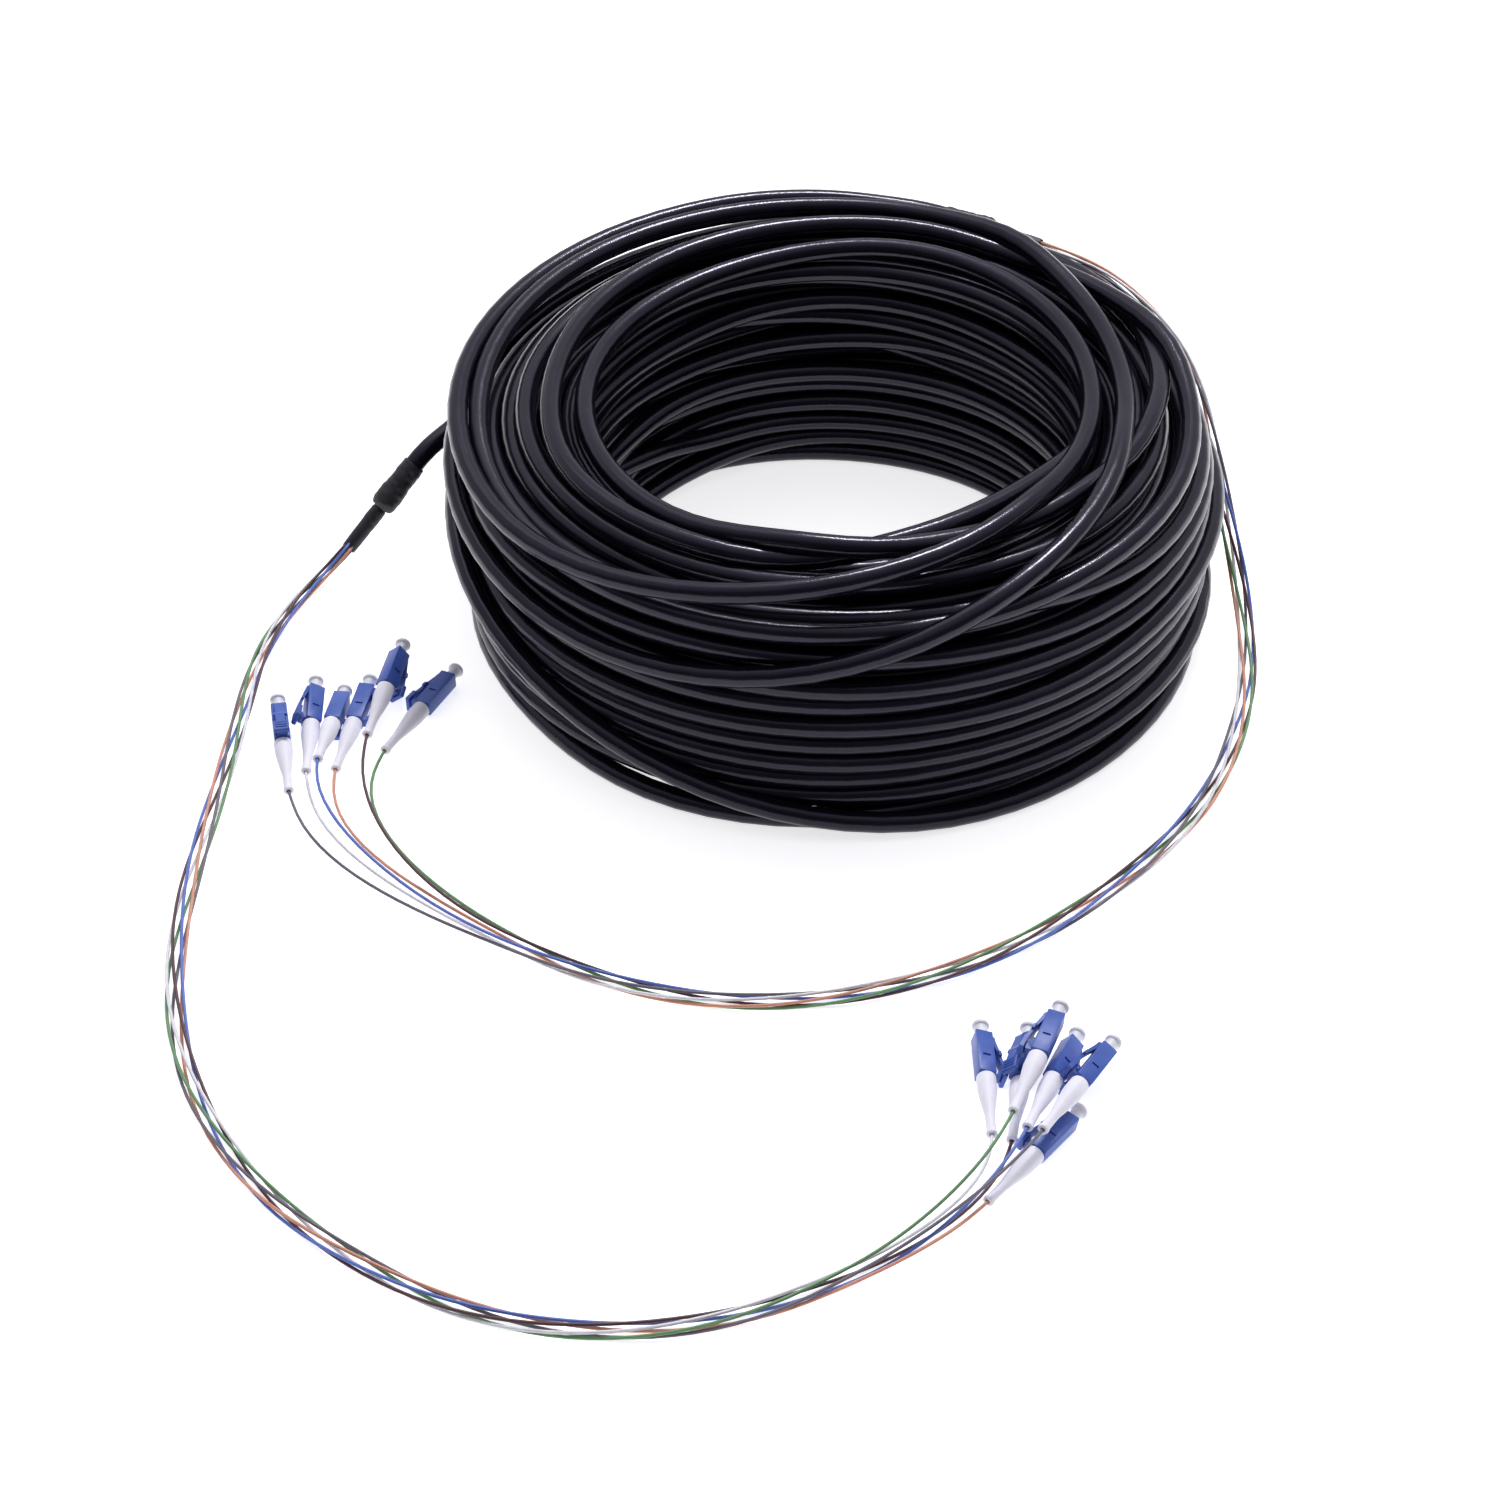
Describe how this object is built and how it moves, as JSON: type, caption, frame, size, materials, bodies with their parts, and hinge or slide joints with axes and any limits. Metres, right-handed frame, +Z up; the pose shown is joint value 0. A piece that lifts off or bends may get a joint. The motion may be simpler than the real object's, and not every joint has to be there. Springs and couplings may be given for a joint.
{
  "type": "outdoor fibre patch cable",
  "caption": "Coil of black outdoor fibre cable with a heat-shrink breakout at each end, coloured buffered fibres and blue simplex plugs with white boots and dust caps.",
  "frame": {"origin": "centre of the coil on the floor it lies on", "axes": "+Z up along the coil's axis, -Y towards the plugs in front of the coil, +X to the right seen from there"},
  "size_m": [0.3015, 0.4022, 0.0785],
  "materials": {
    "jacket": "black polyethylene jacket, glossy with a fine pebble",
    "heat_shrink": "black heat-shrink tube, matt",
    "housing": "blue moulded plastic, satin",
    "boot": "white elastomer, satin",
    "dust_cap": "white moulded plastic, satin",
    "blue_buffer": "blue tight buffer, satin",
    "orange_buffer": "orange tight buffer, satin",
    "green_buffer": "green tight buffer, satin",
    "brown_buffer": "brown tight buffer, satin",
    "slate_buffer": "slate tight buffer, satin",
    "white_buffer": "white tight buffer, satin"
  },
  "bodies": {
    "cable": {"a_blue_boot": "boot", "a_blue_fibre": "blue_buffer", "a_blue_housing": "housing", "a_brown_boot": "boot", "a_brown_fibre": "brown_buffer", "a_brown_housing": "housing", "a_cable_end": "jacket", "a_green_boot": "boot", "a_green_fibre": "green_buffer", "a_green_housing": "housing", "a_large_sleeve": "heat_shrink", "a_orange_boot": "boot", "a_orange_fibre": "orange_buffer", "a_orange_housing": "housing", "a_slate_boot": "boot", "a_slate_fibre": "slate_buffer", "a_slate_housing": "housing", "a_small_sleeve": "heat_shrink", "a_white_boot": "boot", "a_white_fibre": "white_buffer", "a_white_housing": "housing", "b_blue_boot": "boot", "b_blue_fibre": "blue_buffer", "b_blue_housing": "housing", "b_brown_boot": "boot", "b_brown_fibre": "brown_buffer", "b_brown_housing": "housing", "b_cable_end": "jacket", "b_green_boot": "boot", "b_green_fibre": "green_buffer", "b_green_housing": "housing", "b_large_sleeve": "heat_shrink", "b_orange_boot": "boot", "b_orange_fibre": "orange_buffer", "b_orange_housing": "housing", "b_slate_boot": "boot", "b_slate_fibre": "slate_buffer", "b_slate_housing": "housing", "b_small_sleeve": "heat_shrink", "b_white_boot": "boot", "b_white_fibre": "white_buffer", "b_white_housing": "housing", "coil": "jacket"},
    "a_blue_dust_cap": {"a_blue_dust_cap": "dust_cap"},
    "a_brown_dust_cap": {"a_brown_dust_cap": "dust_cap"},
    "a_green_dust_cap": {"a_green_dust_cap": "dust_cap"},
    "a_orange_dust_cap": {"a_orange_dust_cap": "dust_cap"},
    "a_slate_dust_cap": {"a_slate_dust_cap": "dust_cap"},
    "a_white_dust_cap": {"a_white_dust_cap": "dust_cap"},
    "b_blue_dust_cap": {"b_blue_dust_cap": "dust_cap"},
    "b_brown_dust_cap": {"b_brown_dust_cap": "dust_cap"},
    "b_green_dust_cap": {"b_green_dust_cap": "dust_cap"},
    "b_orange_dust_cap": {"b_orange_dust_cap": "dust_cap"},
    "b_slate_dust_cap": {"b_slate_dust_cap": "dust_cap"},
    "b_white_dust_cap": {"b_white_dust_cap": "dust_cap"}
  },
  "joints": [
    {"name": "a_blue_dust_cap_pull_off", "type": "slide", "parent": "cable", "child": "a_blue_dust_cap", "axis": [0.3726, 0.9221, -0.1045], "range_m": [0, 0.006]},
    {"name": "a_brown_dust_cap_pull_off", "type": "slide", "parent": "cable", "child": "a_brown_dust_cap", "axis": [0.1616, 0.9869, 0], "range_m": [0, 0.006]},
    {"name": "a_green_dust_cap_pull_off", "type": "slide", "parent": "cable", "child": "a_green_dust_cap", "axis": [0.3502, 0.9365, -0.0175], "range_m": [0, 0.006]},
    {"name": "a_orange_dust_cap_pull_off", "type": "slide", "parent": "cable", "child": "a_orange_dust_cap", "axis": [0.6014, 0.7981, -0.0349], "range_m": [0, 0.006]},
    {"name": "a_slate_dust_cap_pull_off", "type": "slide", "parent": "cable", "child": "a_slate_dust_cap", "axis": [0.4977, 0.862, -0.0958], "range_m": [0, 0.006]},
    {"name": "a_white_dust_cap_pull_off", "type": "slide", "parent": "cable", "child": "a_white_dust_cap", "axis": [-0.0174, 0.9989, -0.0436], "range_m": [0, 0.006]},
    {"name": "b_blue_dust_cap_pull_off", "type": "slide", "parent": "cable", "child": "b_blue_dust_cap", "axis": [0.0857, 0.9795, -0.1822], "range_m": [0, 0.006]},
    {"name": "b_brown_dust_cap_pull_off", "type": "slide", "parent": "cable", "child": "b_brown_dust_cap", "axis": [0.1736, 0.9845, 0.0262], "range_m": [0, 0.006]},
    {"name": "b_green_dust_cap_pull_off", "type": "slide", "parent": "cable", "child": "b_green_dust_cap", "axis": [0.4321, 0.9018, 0], "range_m": [0, 0.006]},
    {"name": "b_orange_dust_cap_pull_off", "type": "slide", "parent": "cable", "child": "b_orange_dust_cap", "axis": [0.1564, 0.9877, 0], "range_m": [0, 0.006]},
    {"name": "b_slate_dust_cap_pull_off", "type": "slide", "parent": "cable", "child": "b_slate_dust_cap", "axis": [-0.1736, 0.9848, 0.0105], "range_m": [0, 0.006]},
    {"name": "b_white_dust_cap_pull_off", "type": "slide", "parent": "cable", "child": "b_white_dust_cap", "axis": [-0.0262, 0.9997, 0], "range_m": [0, 0.006]}
  ]
}
